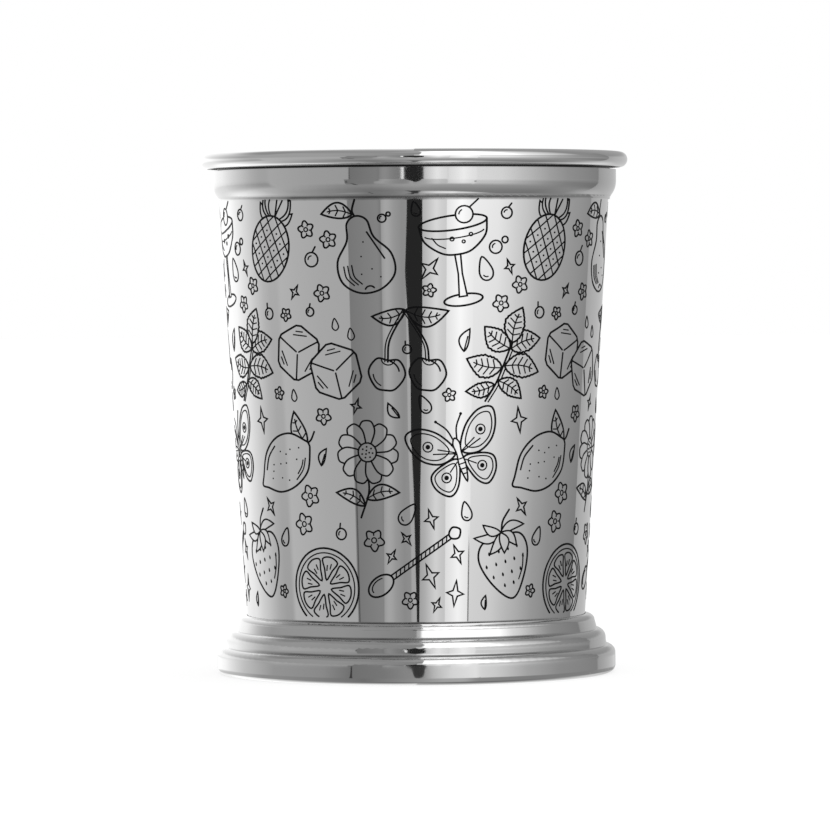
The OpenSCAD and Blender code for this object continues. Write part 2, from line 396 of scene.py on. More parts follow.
class Drawing:
    """Lines and filled shapes. What is drawn later hides what it covers."""

    def __init__(self):
        self.lines = []
        self.fills = []
        self.covered = []

    def line(self, points, width=FINE, closed=False):
        self.lines.append((resample(points, closed), width, closed))

    def cut(self, test):
        """Keeps only the parts of the lines whose points pass the test."""
        self.lines = [
            (run, width, run_closed)
            for points, width, closed in self.lines
            for run, run_closed in kept_runs(points, closed, test(points))
        ]

    def shape(self, outline, width=MEDIUM):
        """A closed outline that hides what lies behind it."""
        outline = np.asarray(outline, complex)
        self.cut(lambda points: ~inside(points, outline))
        self.covered.append(outline)
        self.line(outline, width, closed=True)

    def fill(self, outline):
        self.fills.append(np.asarray(outline, complex))

    def dot(self, centre, radius=0.15):
        self.fill(ring(centre, radius, steps=8))

    def within(self, outline, lines, width=FINE):
        """Lines of which only the parts within an outline are drawn."""
        for points in lines:
            points = resample(points, False)
            for run, _ in kept_runs(points, False, inside(points, outline)):
                self.line(run, width)

    def add(self, other, at=0j, turn=0.0, size=1.0, flip=False):
        """Another drawing, mirrored if flip is set, then sized, turned and moved."""
        for points, width, closed in other.lines:
            points = -points.conj() if flip else points
            self.lines.append((at + points * polar(size, turn), width, closed))
        for mine, others in ((self.fills, other.fills), (self.covered, other.covered)):
            for points in others:
                points = -points.conj() if flip else points
                mine.append(at + points * polar(size, turn))


def leaf(pen, base, tip, width, veins=3, bend=0.12, teeth=0, width_line=MEDIUM):
    """A leaf from its base to its tip, with a midrib and veins on both sides."""
    axis = tip - base
    t = np.linspace(0, 1, 21)
    half = 0.5 * width / abs(axis) * np.sin(math.pi * t**0.86) ** 0.9
    if teeth:
        half *= 1 + 0.16 * ((t * teeth) % 1 - 0.5)
    middle = t + 1j * bend * np.sin(math.pi * t)
    edge = np.concatenate([middle + 1j * half, (middle - 1j * half)[-2:0:-1]])
    pen.shape(base + axis * edge, width_line)
    if not veins:
        return
    pen.line(base + axis * middle[:17])
    for share in np.linspace(0.2, 0.7, veins):
        root = share + 1j * bend * math.sin(math.pi * share)
        reach = 0.36 * width / abs(axis) * math.sin(math.pi * (share + 0.12) ** 0.86)
        for side in (1, -1):
            pen.line(base + axis * (root + np.array([0, 0.5 + 1j * side]) * reach))


def mint_sprig(pen):
    stem = spline([-2 - 8.2j, -0.9 - 5j, -0.3 - 1.5j, 0.2 + 2j])
    pen.line(stem, BOLD)
    pen.line(stem + 0.55)
    for base, tip, width in (
        (-1.1 - 5.2j, -5.6 - 7.4j, 2.4), (-0.6 - 4.4j, 4.4 - 6.2j, 2.8),
        (-0.5 - 2.2j, -6.8 - 2.2j, 3.7), (-0.1 - 1.8j, 6.6 - 1.2j, 3.9),
        (0.1 + 1.2j, -5.2 + 3.6j, 3.6), (0.3 + 1.2j, 5.4 + 4.2j, 3.5),
        (0.2 + 2.2j, 0.6 + 8.2j, 3.7),
    ):
        leaf(pen, base, tip, width, veins=4, bend=0.08, teeth=9, width_line=BOLD)


def citrus_wheel(pen):
    pen.shape(ring(0, 6.7, steps=48), BOLD)
    pen.line(ring(0, 5.9, steps=48), closed=True)
    segments, half = 8, 18.45
    for k in range(segments):
        middle = 30.5 + 360 * k / segments
        knots = [polar(1.3, middle), polar(3.2, middle - 0.8 * half), polar(4.9, middle - half),
                 polar(5.3, middle), polar(4.9, middle + half), polar(3.2, middle + 0.8 * half)]
        pen.line(spline(knots, True, 4), MEDIUM, closed=True)
        for turn, low, high in ((-0.3, 3.3, 4.2), (0.3, 2.9, 3.8)):
            pen.line([polar(low, middle + turn * half), polar(high, middle + turn * half)])


def cherries(pen):
    joint = 1.6 + 6.6j
    leaf(pen, joint, -5.4 + 7.2j, 3.3, veins=4, bend=0.16, width_line=BOLD)
    leaf(pen, joint, 7.0 + 5.0j, 2.6, veins=3, bend=-0.14, width_line=BOLD)
    for at, knots in (
        (-3.1 - 3.6j, [-3.1 - 1.6j, -2.2 + 1.6j, joint]),
        (3.7 - 4.3j, [3.7 - 2.4j, 3.7 + 1.4j, joint]),
    ):
        pen.shape(spline([at + 2.2j, at + 1.9 + 2.3j, at + 3.1, at + 1.7 - 2.5j, at - 2.9j,
                          at - 1.7 - 2.5j, at - 3.1, at - 1.9 + 2.3j], True, 6), BOLD)
        pen.line(arc(at, 2.1, 100, 165, 10), MEDIUM)
        pen.line(arc(at, 2.3, 290, 350, 10))
        pen.line(arc(at + 2.6j, 1.2, 200, 340, 10))
        pen.line(spline(knots), BOLD)
        pen.line(spline(knots) + 0.5)


def daisy(pen):
    stem = spline([0.4 - 0.2j, 1.3 - 4j, 0.4 - 8.6j])
    pen.line(stem, BOLD)
    leaf(pen, 1.1 - 5.2j, 6.6 - 3.4j, 2.5, veins=3, width_line=BOLD)
    leaf(pen, 0.9 - 6.4j, -4.6 - 5.0j, 2.3, veins=3, bend=-0.12, width_line=BOLD)
    heart, radius, petals = 0.2 + 2.6j, 5.4, 11
    wide = 2.1j * math.sin(math.pi / petals)
    petal = spline([0.12, 0.6 + 0.42 * wide, 0.93 + 0.3 * wide, 1.0, 0.93 - 0.3 * wide, 0.6 - 0.42 * wide],
                   True, 5)
    for k in range(petals):
        pen.shape(heart + petal * polar(radius, 360 * k / petals))
    pen.shape(ring(heart, 0.3 * radius, steps=16))
    for radius, count in ((0.95, 7), (0.35, 3)):
        for k in range(count):
            pen.dot(heart + polar(radius, 360 * k / count), 0.17)


def strawberry(pen):
    body = spline([0.3 - 7.2j, -3 - 4.4j, -5 + 0.2j, -3.8 + 3.2j, 3.6j,
                   3.8 + 3.2j, 5 + 0.2j, 3.3 - 4.2j], True, 7)
    pen.line(spline([0.2 + 4j, 0.9 + 6j, 2.6 + 7.6j]), BOLD)
    pen.shape(body, BOLD)
    for row, count in ((1.2, 4), (-0.8, 5), (-2.8, 4), (-4.7, 2)):
        for k in range(count):
            at = 1j * row + 1.9 * (k - (count - 1) / 2)
            pen.fill(spline([at + 0.42j, at + 0.2, at - 0.3j, at - 0.2], True, 3))
    pen.line(spline([3.9 - 0.4j, 3.3 - 2.6j, 2.1 - 4.4j]))
    for tip, width in ((-5 + 4.6j, 1.6), (5 + 4.4j, 1.6), (-2.7 + 1.2j, 1.7), (2.8 + 1.3j, 1.7),
                       (0.1 + 0.7j, 1.8), (-2.9 + 6.3j, 1.5)):
        leaf(pen, 0.1 + 4.2j, tip, width, veins=0)


def lemon(pen):
    leaf(pen, 5.6 + 3j, 3.4 + 8.6j, 3.0, veins=3, width_line=BOLD)
    pen.line(spline([5.6 + 3j, 6.6 + 3.7j, 7.4 + 5j]), BOLD)
    turn = polar(1, 27)
    body = spline([-7.6, -6.4 + 1.2j, -3.4 + 3.9j, 0.4 + 4.7j, 4 + 3.6j, 6.2 + 1j, 6.7,
                   6.2 - 1.2j, 3.8 - 3.9j, -4.6j, -3.6 - 3.6j, -6.3 - 1.2j], True, 6) * turn
    pen.shape(body, BOLD)
    pen.line(spline([-4.9 + 1.5j, -3.1 + 3j, -0.6 + 3.7j]) * turn, MEDIUM)
    pen.line(spline([1 - 3.8j, 3.2 - 3.1j, 4.7 - 1.7j]) * turn)
    pen.line(spline([1.8 - 3.1j, 3.2 - 2.5j, 4.1 - 1.7j]) * turn)
    for at in (-4.2 - 0.6j, -2.6 + 1.2j, -1.9 - 1.8j, 0.2 + 2.2j, 0.4 - 0.2j, 2.5 + 1.3j, 2.9 - 0.9j,
               -3.3 + 0.3j, 1.2 + 1.1j, -0.6 - 3j, 4.4 + 0.5j, -0.9 + 0.4j):
        pen.dot(at * turn)


def butterfly(pen):
    for side in (1, -1):
        def mirrored(points):
            points = np.asarray(points, complex)
            return points if side > 0 else -points.conj()

        upper = [0.5 + 0.9j, 2.4 + 4.6j, 5.4 + 6.6j, 8 + 6.2j, 7.9 + 3.4j, 6.2 + 0.8j, 3.2 - 0.4j]
        lower = [0.5 - 0.6j, 3.4 - 0.6j, 5.9 - 1.9j, 5.7 - 4.4j, 3.6 - 6.2j, 1.6 - 4.6j]
        for knots, heart in ((lower, 3.4 - 2.9j), (upper, 4.9 + 3.2j)):
            outline = spline(mirrored(knots), True, 7)
            centre = mirrored([heart])[0]
            pen.shape(outline, BOLD)
            pen.line(centre + (outline - centre) * 0.76, closed=True)
            pen.shape(ring(centre, 0.85, steps=14), FINE)
            pen.fill(ring(centre, 0.42, steps=10))
        for a, b in ((0.7 + 0.8j, 3.4 + 2.2j), (0.7 + 0.6j, 4.4 + 1.7j), (0.8 - 0.9j, 2.5 - 2.2j)):
            pen.line(mirrored([a, b]))
        pen.line(mirrored(spline([0.3 + 2.8j, 0.9 + 5j, 2.3 + 6.9j])), MEDIUM)
        pen.dot(mirrored([2.3 + 6.9j])[0], 0.27)
    body = spline([3.2j, 0.62 + 2.2j, 0.45 + 0.4j, 0.62 - 1.8j, -4.6j,
                   -0.62 - 1.8j, -0.45 + 0.4j, -0.62 + 2.2j], True, 5)
    pen.shape(body)
    for level in (-3.2, -2.3, -1.4, -0.5):
        pen.within(body, [[-1 + 1j * level, 1 + 1j * level]])


def pineapple(pen):
    body = ring(-2.6j, 5.6, squash=0.78, turn=90, steps=36)
    for angle, reach in ((38, 4.6), (142, 4.6), (62, 5.8), (118, 5.8), (76, 6.6), (104, 6.8), (90, 6.2)):
        leaf(pen, 2.2j + 0.6 * math.cos(math.radians(angle)), 1.6j + polar(reach, angle), 1.7, veins=0,
             bend=-0.14 if angle < 90 else 0.14)
    pen.shape(body, BOLD)
    for slant in (polar(9, 52), polar(9, 128)):
        lines = [[-2.6j + offset - slant, -2.6j + offset + slant] for offset in np.arange(-9, 9.1, 2.25)]
        pen.within(body, lines)
    for i in range(-3, 4):
        for j in range(-3, 4):
            at = -2.6j + 1.125 * (i + j) + 1j * 1.44 * (i - j) + 1.125
            if abs(at + 2.6j) < 4.2:
                pen.dot(at, 0.17)


def cube(pen, centre, size, turn):
    """An ice cube in a slanted view, with a melting gleam on each face."""
    corners = [centre + polar(size, turn + 60 * k) for k in range(6)]
    rounded = []
    for k, corner in enumerate(corners):
        for other in (corners[k - 1], corners[(k + 1) % 6]):
            rounded.append(corner + 0.12 * (other - corner))
    pen.shape(rounded, BOLD)
    for k in (0, 2, 4):
        pen.line([centre + 0.06 * (corners[k] - centre), centre + 0.92 * (corners[k] - centre)], MEDIUM)
        face = centre + 0.5 * (corners[k + 1] - centre)
        along = corners[(k + 2) % 6] - corners[k]
        for shift, reach in ((0.14, 0.2), (0.3, 0.1)):
            start = face + shift * (corners[k + 1] - centre) * 0.8
            pen.line([start - reach * along, start + 0.6 * reach * along])


def ice(pen):
    cube(pen, -3.1 + 1.7j, 4.6, 18)
    cube(pen, 3.4 - 1.9j, 4.7, 37)
    for at in (4.4 + 5.2j, -4.9 - 5.2j, 6.8 + 3.4j):
        pen.shape(spline([at + 1.2j, at + 0.55 - 0.1j, at - 0.7j, at - 0.55 - 0.1j], True, 5), FINE)


def coupe(pen):
    bowl = spline([-5.8 + 6.4j, -5.2 + 3.6j, -2.6 + 1.3j, 0.8j, 2.6 + 1.3j, 5.2 + 3.6j, 5.8 + 6.4j])
    pen.shape(ring(-7.2j, 3.4, squash=0.3, steps=28), BOLD)
    pen.shape([-0.5 + 1j, -0.35 - 2.6j, -0.7 - 6.6j, 0.7 - 6.6j, 0.35 - 2.6j, 0.5 + 1j])
    pen.shape(bowl, BOLD)
    pen.shape(ring(6.4j, 5.8, squash=0.22, steps=36), BOLD)
    pen.line(arc(4.7j, 5.1, 190, 350, 24, squash=0.2))
    pen.line(spline([-3.9 + 4.2j, -3.1 + 2.9j, -1.9 + 2.1j]))
    pen.shape(ring(2 + 7.6j, 1.5, steps=18))
    pen.line(arc(2 + 7.6j, 0.9, 110, 170, 6))
    pen.line([3 + 8.7j, 6.2 + 11j], MEDIUM)
    for at, radius in ((-0.6 + 3.6j, 0.34), (1.3 + 2.9j, 0.26), (2.7 + 4j, 0.3)):
        pen.line(ring(at, radius, steps=10), closed=True)


def spoon(pen):
    pen.shape(ring(-7.4, 2.7, squash=0.62, steps=28), BOLD)
    pen.line(arc(-7.4, 1.9, 60, 190, 14, squash=0.6))
    for offset in (0.45j, -0.45j):
        pen.line([-4.8 + offset, 8.6 + offset], MEDIUM)
    for x in np.arange(-4.2, 8.3, 0.95):
        pen.line([x - 0.45j, x + 0.7 + 0.45j])
    pen.shape(spline([8.4 - 0.5j, 9.6 - 1.1j, 10.6, 9.6 + 1.1j, 8.4 + 0.5j], True, 5), BOLD)


def pear(pen):
    leaf(pen, 0.5 + 6.2j, 5.8 + 7.2j, 2.7, veins=3, width_line=BOLD)
    pen.line(spline([5.4j, 0.4 + 6.8j, -0.4 + 8.6j]), BOLD)
    pen.shape(spline([5.8j, 1.7 + 4.8j, 2.3 + 1.8j, 4.6 - 1.4j, 4.5 - 5j, 1.8 - 7.3j, -1.8 - 7.3j,
                      -4.6 - 5j, -4.6 - 1.4j, -2.3 + 1.8j, -1.7 + 4.8j], True, 6), BOLD)
    pen.line(spline([-1.3 + 2.8j, -2.4 + 0.2j, -3.4 - 2.2j]), MEDIUM)
    for shift in (0, 0.7, 1.4):
        pen.line(spline([3.7 - shift - 2.4j, 3.6 - shift - 4.4j, 2.5 - shift - 5.9j]))
    for at in (0.4 - 1.2j, -1 - 3.6j, 0.9 - 4.2j, -2.2 - 5.2j, -0.4 + 1.2j):
        pen.dot(at)
    pen.line(arc(-7.3j, 0.9, 30, 150, 8), MEDIUM)


def filler(pen, kind, size):
    """A small thing to strew between the others, about size across."""
    if kind == "blossom":
        turns = np.arange(0, 360, 9)
        pen.shape(0.43 * size * (1 + 0.2 * np.cos(np.radians(5 * turns))) * polar(1, turns))
        pen.line(ring(0, 0.12 * size, steps=12), closed=True)
        for notch in range(36, 360, 72):
            pen.line([polar(0.22 * size, notch), polar(0.31 * size, notch)])
    elif kind == "sparkle":
        reaches = (0.6, 0.17, 0.42, 0.17) * 2
        pen.shape([1j * polar(reach * size, 45 * k) for k, reach in enumerate(reaches)])
    elif kind == "drop":
        outline = np.array([0.62j, 0.3 + 0.02j, 0.26 - 0.36j, -0.5j, -0.26 - 0.36j, -0.3 + 0.02j])
        pen.shape(spline(outline * size, True, 5))
        pen.line(arc(-0.16j * size, 0.17 * size, 200, 280, 6))
    elif kind == "berry":
        pen.shape(ring(0, 0.33 * size, steps=16))
        pen.line(arc(0, 0.17 * size, 100, 190, 7))
        pen.line([0.33j * size, (0.12 + 0.62j) * size], MEDIUM)
    elif kind == "bubbles":
        pen.shape(ring(-0.12 * size, 0.3 * size, steps=16))
        pen.shape(ring((0.34 + 0.3j) * size, 0.15 * size, steps=12))
        pen.line(arc(-0.12 * size, 0.16 * size, 100, 190, 7))
    else:
        leaf(pen, -0.5j * size, 0.55j * size, 0.46 * size, veins=0)
        pen.line([-0.46j * size, 0.2j * size])


REPEATS, PRINT_TURN = 4, math.radians(-31)
PRINT_LOW, PRINT_HIGH = 12.9, 95.35
ROWS, COLUMNS = 4, 3
# Size and number of the small things strewn over one repeat
FILLERS = ((4.3, 12), (3.4, 18), (2.6, 16))
FILLER_KINDS = ("blossom", "sparkle", "blossom", "sparkle", "drop", "berry", "bubbles", "leaf")
FILLER_TRIES, FILLER_CLEARANCE, FILLER_TURN = 900, 1.2, 40
# How far a large motif may stray sideways from its place, and the seed of all this chance
STRAY, SEED = 0.8, 11

# The wall's radius half way up and its slope, from the CAD mesh
LEVELS = LOW_Z, MIDDLE_Z, HIGH_Z = 20, 50, 90
LOW_RADIUS, MIDDLE_RADIUS, HIGH_RADIUS = (outer_radius(nodes["cup_body"], z) for z in LEVELS)
SLOPE = (HIGH_RADIUS - LOW_RADIUS) / (HIGH_Z - LOW_Z)
TILE_W = 2 * math.pi * MIDDLE_RADIUS / REPEATS
TILE_H = PRINT_HIGH - PRINT_LOW

# The large motifs, row by row from the bottom, each with its turn in degrees, its size, a mirror
# flag and how far it sits above the middle of its row
LAYOUT = (
    ((citrus_wheel, 0, 1.16, False, -4.4), (spoon, 34, 1.1, False, 0.6), (strawberry, 14, 1.18, False, 1.4)),
    ((daisy, -8, 1.16, False, -1.2), (butterfly, 18, 1.14, False, 1.0), (lemon, 4, 1.16, False, -0.6)),
    ((ice, 6, 1.24, False, -1.0), (cherries, -6, 1.16, True, 1.2), (mint_sprig, -14, 1.2, False, 0.0)),
    ((pear, 10, 1.14, True, 0.4), (coupe, 8, 1.12, False, -1.6), (pineapple, -16, 1.18, False, 3.6)),
)


def drawn(draw, *what):
    """The drawing that a motif's function makes."""
    pen = Drawing()
    draw(pen, *what)
    return pen


def tile():
    """One repeat of the print."""
    pen = Drawing()
    chance = random.Random(SEED)
    cell_w, cell_h = TILE_W / COLUMNS, TILE_H / ROWS
    for row, motifs in enumerate(LAYOUT):
        for column, (motif, turn, size, flip, rise) in enumerate(motifs):
            x = (column + (0.5 if row % 2 else 0.0)) * cell_w + chance.uniform(-STRAY, STRAY)
            y = (row + 0.5) * cell_h + rise
            pen.add(drawn(motif), x + 1j * y, turn, size, flip)
    covered = list(pen.covered)
    taken = np.concatenate([points for points, _, _ in pen.lines])
    taken = np.concatenate([taken - TILE_W, taken, taken + TILE_W])
    for size, count in FILLERS:
        placed, tries = 0, 0
        while placed < count and tries < FILLER_TRIES:
            tries += 1
            at = complex(chance.uniform(0, TILE_W), chance.uniform(0.6 * size, TILE_H - 0.6 * size))
            kind = chance.choice(FILLER_KINDS)
            turn = chance.uniform(-FILLER_TURN, FILLER_TURN)
            if abs(taken - at).min() < 0.5 * size + FILLER_CLEARANCE:
                continue
            copies = np.array([at - TILE_W, at, at + TILE_W])
            if any(inside(copies, outline).any() for outline in covered):
                continue
            small = Drawing()
            small.add(drawn(filler, kind, size), at, turn)
            pen.add(small)
            points = np.concatenate([line for line, _, _ in small.lines])
            taken = np.concatenate([taken, points - TILE_W, points, points + TILE_W])
            placed += 1
    return pen


INK_PROUD, INK_SUNK = 0.03, 0.03
# How far a line's end reaches on and its half-width there, both as shares of the line's width
CAP_REACH, CAP_HALF = 0.32, 0.28
# Limits where a line turns back: the shortest heading used, and the least cosine at a mitre
LEAST_HEADING, LEAST_MITRE = 0.3, 0.45


def on_wall(points, base_angle, lift):
    """Where points of the print lie on the cup, at a height above the wall's true surface."""
    z = PRINT_LOW + points.imag
    radius = MIDDLE_RADIUS + SLOPE * (z - MIDDLE_Z) + lift
    angle = base_angle + points.real / MIDDLE_RADIUS
    return np.stack([radius * np.sin(angle), -radius * np.cos(angle), z], 1) * MM


def thinned(points, closed, slack=0.012, longest=1.5, joined=0.05):
    """The line with only the points that its shape and the wall's curve need."""
    keep = [0]
    last = len(points) - 1
    start = 0
    while start < last:
        stop = start + 1
        while stop < last and abs(points[stop + 1] - points[start]) < longest:
            chord = points[stop + 1] - points[start]
            between = points[start + 1 : stop + 1] - points[start]
            if (abs((between * chord.conjugate()).imag) > slack * abs(chord)).any():
                break
            stop += 1
        keep.append(stop)
        start = stop
    line = points[keep]
    return line[:-1] if closed and abs(line[-1] - line[0]) < joined else line


def new_object(name, places, faces, material):
    """A mesh object in the scene."""
    mesh = bpy.data.meshes.new(name)
    mesh.from_pydata(places, [], faces)
    mesh.materials.append(material)
    obj = bpy.data.objects.new(name, mesh)
    bpy.context.scene.collection.objects.link(obj)
    return obj


class Ink:
    """Gathers the vertices and faces of the printed film."""

    def __init__(self):
        self.places = []
        self.faces = []
        self.count = 0

    def sheet(self, flat, top, rim, base_angle):
        """A film over 2D points: top faces, their copies underneath, and a wall along the rim."""
        n = len(flat)
        self.places += [on_wall(flat, base_angle, INK_PROUD), on_wall(flat, base_angle, -INK_SUNK)]
        first = self.count
        self.faces += [[first + v for v in face] for face in top]
        self.faces += [[first + n + v for v in reversed(face)] for face in top]
        for a, b in rim:
            self.faces.append([first + b, first + a, first + n + a, first + n + b])
        self.count += 2 * n

    def stroke(self, points, width, closed, base_angle):
        points = thinned(points, closed)
        n = len(points)
        if n < (3 if closed else 2):
            return
        half = np.full(n, width / 2)
        if closed:
            before, after = points - np.roll(points, 1), np.roll(points, -1) - points
        else:
            ends = np.diff(points)
            cap = CAP_REACH * width
            points = np.concatenate([
                [points[0] - cap * ends[0] / abs(ends[0])], points,
                [points[-1] + cap * ends[-1] / abs(ends[-1])],
            ])
            half = np.concatenate([[CAP_HALF * width], half, [CAP_HALF * width]])
            n += 2
            steps = np.diff(points)
            before = np.concatenate([steps[:1], steps])
            after = np.concatenate([steps, steps[-1:]])
        before, after = before / abs(before), after / abs(after)
        heading = before + after
        heading = np.where(abs(heading) < LEAST_HEADING, before, heading)
        heading /= abs(heading)
        reach = half / np.maximum((heading * before.conj()).real, LEAST_MITRE)
        flat = np.concatenate([points + 1j * heading * reach, points - 1j * heading * reach])
        pairs = [(k, (k + 1) % n) for k in range(n if closed else n - 1)]
        top = [[a, n + a, n + b, b] for a, b in pairs]
        rim = [(b, a) for a, b in pairs] + [(n + a, n + b) for a, b in pairs]
        if not closed:
            rim += [(0, n), (2 * n - 1, n - 1)]
        self.sheet(flat, top, rim, base_angle)

    def patch(self, outline, base_angle):
        area = (outline.conj() * np.roll(outline, -1)).imag.sum()
        outline = outline if area > 0 else outline[::-1]
        corners = [Vector((p.real, p.imag, 0)) for p in outline]
        top = []
        for a, b, c in tessellate_polygon([corners]):
            turn = ((outline[b] - outline[a]).conjugate() * (outline[c] - outline[a])).imag
            top.append([a, b, c] if turn > 0 else [a, c, b])
        n = len(outline)
        self.sheet(outline, top, [(k, (k + 1) % n) for k in range(n)], base_angle)


def build_print():
    pen = tile()
    pen.cut(lambda points: (points.imag > 0) & (points.imag < TILE_H))
    ink = Ink()
    for k in range(REPEATS):
        base_angle = 2 * math.pi * k / REPEATS + PRINT_TURN
        for points, width, closed in pen.lines:
            ink.stroke(points, width, closed, base_angle)
        for outline in pen.fills:
            if outline.imag.min() > 0 and outline.imag.max() < TILE_H and len(outline) > 2:
                ink.patch(outline, base_angle)
    return new_object("printed_pattern", np.concatenate(ink.places).tolist(), ink.faces, black_ink())


printed = build_print()
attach(printed, "root")


# The studio: what the polished steel reflects

STUDIO_MIDDLE = Vector((0, 0, 0.055))
# How far the wall's lean lowers, in degrees, what its front shows
WALL_TILT = 2 * math.degrees(math.atan(SLOPE))


def panel_material(name, feather):
    """Light whose brightness each vertex carries, fading out at the panel's edges. feather holds
    the shares of the panel over which its sides, its lower edge and its upper edge fade."""
    material, tree, _ = new_material(name)
    tree.nodes.clear()
    place = add_node(tree, "ShaderNodeUVMap", uv_map="panel")
    parts = add_node(tree, "ShaderNodeSeparateXYZ")
    tree.links.new(place.outputs[0], parts.inputs[0])
    across, up = parts.outputs[0], parts.outputs[1]
    cover = None
    for edge, share in (
        (math_node(tree, "MINIMUM", across, math_node(tree, "SUBTRACT", 1.0, across)), feather[0]),
        (up, feather[1]),
        (math_node(tree, "SUBTRACT", 1.0, up), feather[2]),
    ):
        fade = add_node(tree, "ShaderNodeMapRange", interpolation_type="SMOOTHSTEP")
        fade.inputs["From Max"].default_value = max(share, 1e-4)
        tree.links.new(edge, fade.inputs["Value"])
        cover = fade.outputs[0] if cover is None else math_node(tree, "MULTIPLY", cover, fade.outputs[0])
    level = add_node(tree, "ShaderNodeAttribute", attribute_name="level")
    glow = add_node(tree, "ShaderNodeEmission")
    tree.links.new(level.outputs["Fac"], glow.inputs["Strength"])
    clear = add_node(tree, "ShaderNodeBsdfTransparent")
    mix = add_node(tree, "ShaderNodeMixShader")
    out = add_node(tree, "ShaderNodeOutputMaterial")
    tree.links.new(cover, mix.inputs[0])
    tree.links.new(clear.outputs[0], mix.inputs[1])
    tree.links.new(glow.outputs[0], mix.inputs[2])
    tree.links.new(mix.outputs[0], out.inputs[0])
    return material


def direction(azimuth, elevation):
    a, e = math.radians(azimuth), math.radians(elevation)
    return Vector((math.sin(a) * math.cos(e), -math.cos(a) * math.cos(e), math.sin(e)))


def hang(name, places, faces, uvs, levels, feather=(0.0, 0.0, 0.0)):
    """A glowing panel that only the steel's reflections show."""
    obj = new_object(name, places, faces, panel_material(name, feather))
    layer = obj.data.uv_layers.new(name="panel")
    for loop in obj.data.loops:
        layer.data[loop.index].uv = uvs[loop.vertex_index]
    brightness = obj.data.attributes.new("level", "FLOAT", "POINT")
    brightness.data.foreach_set("value", levels)
    obj.visible_camera = False
    obj.visible_diffuse = False
    obj.visible_shadow = False


def grid_faces(columns, rows):
    corners = [j * (columns + 1) + i for j in range(rows) for i in range(columns)]
    return [(k, k + 1, k + columns + 2, k + columns + 1) for k in corners]


def panel(name, stops, elevations, distance, feather=(0.0, 0.0, 0.0), by_height=((0, 1),),
          by_elevation=((0, 1),), shift=((0, 0),)):
    """A curved panel round the cup between two elevations. stops are (azimuth, brightness) pairs
    from its left edge to its right one, and feather is how many degrees its sides, its lower edge
    and its upper edge take to fade out. by_elevation dims it by elevation, and by_height by the
    elevation from which the tapered wall would show it if it were upright. shift moves its left
    edge by elevation."""
    known_azimuths, known_levels = zip(*stops)
    (a0, a1), (e0, e1) = (known_azimuths[0], known_azimuths[-1]), elevations
    columns, rows = max(2, int(a1 - a0)), max(2, int(e1 - e0))
    places, uvs, levels = [], [], []
    for j in range(rows + 1):
        elevation = e0 + (e1 - e0) * j / rows
        left = a0 + np.interp(elevation, *zip(*shift))
        for i in range(columns + 1):
            u, v = i / columns, j / rows
            azimuth = left + (a1 - left) * u
            places.append(STUDIO_MIDDLE + distance * direction(azimuth, elevation))
            uvs.append((u, v))
            upright = elevation + WALL_TILT * math.cos(math.radians(azimuth / 2))
            level = np.interp(a0 + (a1 - a0) * u, known_azimuths, known_levels)
            for knots, at in ((by_height, upright), (by_elevation, elevation)):
                level *= np.interp(at, *zip(*knots))
            levels.append(level)
    shares = (feather[0] / (a1 - a0), feather[1] / (e1 - e0), feather[2] / (e1 - e0))
    hang(name, places, grid_faces(columns, rows), uvs, levels, shares)


def hang_strip(name, places, level):
    """A panel of one brightness, from its left and right places row by row."""
    uvs = [(0.5, 0.5)] * len(places)
    hang(name, places, grid_faces(1, len(places) // 2 - 1), uvs, [level] * len(places))


def strip(name, profile, level, distance):
    """A panel whose left and right edges are given at each elevation."""
    places = [STUDIO_MIDDLE + distance * direction(azimuth, elevation)
              for elevation, left, right in profile for azimuth in (left, right)]
    hang_strip(name, places, level)


def on_table(turn, reach, lift):
    """Where the camera sees the table reflected in the foot's band: turn is the azimuth of the
    place on the band, and reach how far the table's place lies from it. reach and the lift above
    the floor are in millimetres."""
    place = FOOT_R * direction(turn, 0) + reach * direction(2 * turn, 0) + Vector((0, 0, lift))
    return place * MM


def table_near():
    """The table near the foot. Its rounded heel shows the part close to it, which lies in shadow."""
    columns, rows, turn_most, reach_most = 168, 14, 84, 56
    places, uvs, levels = [], [], []
    for j in range(rows + 1):
        reach = reach_most * j / rows
        for i in range(columns + 1):
            turn = -turn_most + 2 * turn_most * i / columns
            places.append(on_table(turn, reach, TABLE_LIFT))
            uvs.append((0.5, j / rows))
            shade = np.interp(2 * turn, *zip(*HEEL_SHADE))
            open_table = np.interp(2 * turn, *zip(*TABLE_OPEN))
            levels.append(shade + (open_table - shade) * np.interp(reach, SHADOW_ENDS, (0, 1)))
    hang("table_near", places, grid_faces(columns, rows), uvs, levels, (0.0, 0.0, TABLE_FADE))


def table_dark_patch(name, profile):
    """A dark patch on the table. profile holds its reach and its left and right turns."""
    places = [on_table(turn, reach, PATCH_LIFT) for reach, left, right in profile for turn in (left, right)]
    hang_strip(name, places, PATCH_LEVEL)


# Radius of the foot's band, and how far from it the shadow starts and stops to thin out
FOOT_R = outer_radius(nodes["foot_ring"], 3)
SHADOW_ENDS = (5, 13)
# The share of the near table over which it fades out, its lift, and its dark patches' lift and brightness
TABLE_FADE, TABLE_LIFT, PATCH_LIFT, PATCH_LEVEL = 0.12, 0.1, 0.3, 0.05
# The table's brightness by azimuth, in that shadow and outside it
HEEL_SHADE = ((-180, 0.8), (-120, 0.6), (-100, 0.38), (-60, 0.3), (-30, 0.22), (2, 0.38), (15, 0.5),
              (27, 0.52), (35, 0.34), (70, 0.28), (120, 0.29), (180, 0.4))
TABLE_OPEN = ((-170, 1.3), (-145, 1.22), (-118, 0.74), (-90, 0.42), (-55, 0.36), (-37, 0.23), (-18, 0.26),
              (4, 0.38), (10, 0.65), (20, 0.93), (34, 1.06), (37, 0.92), (46, 0.84), (66, 0.52), (90, 0.355),
              (128, 0.29), (130, 0.43), (165, 0.73))

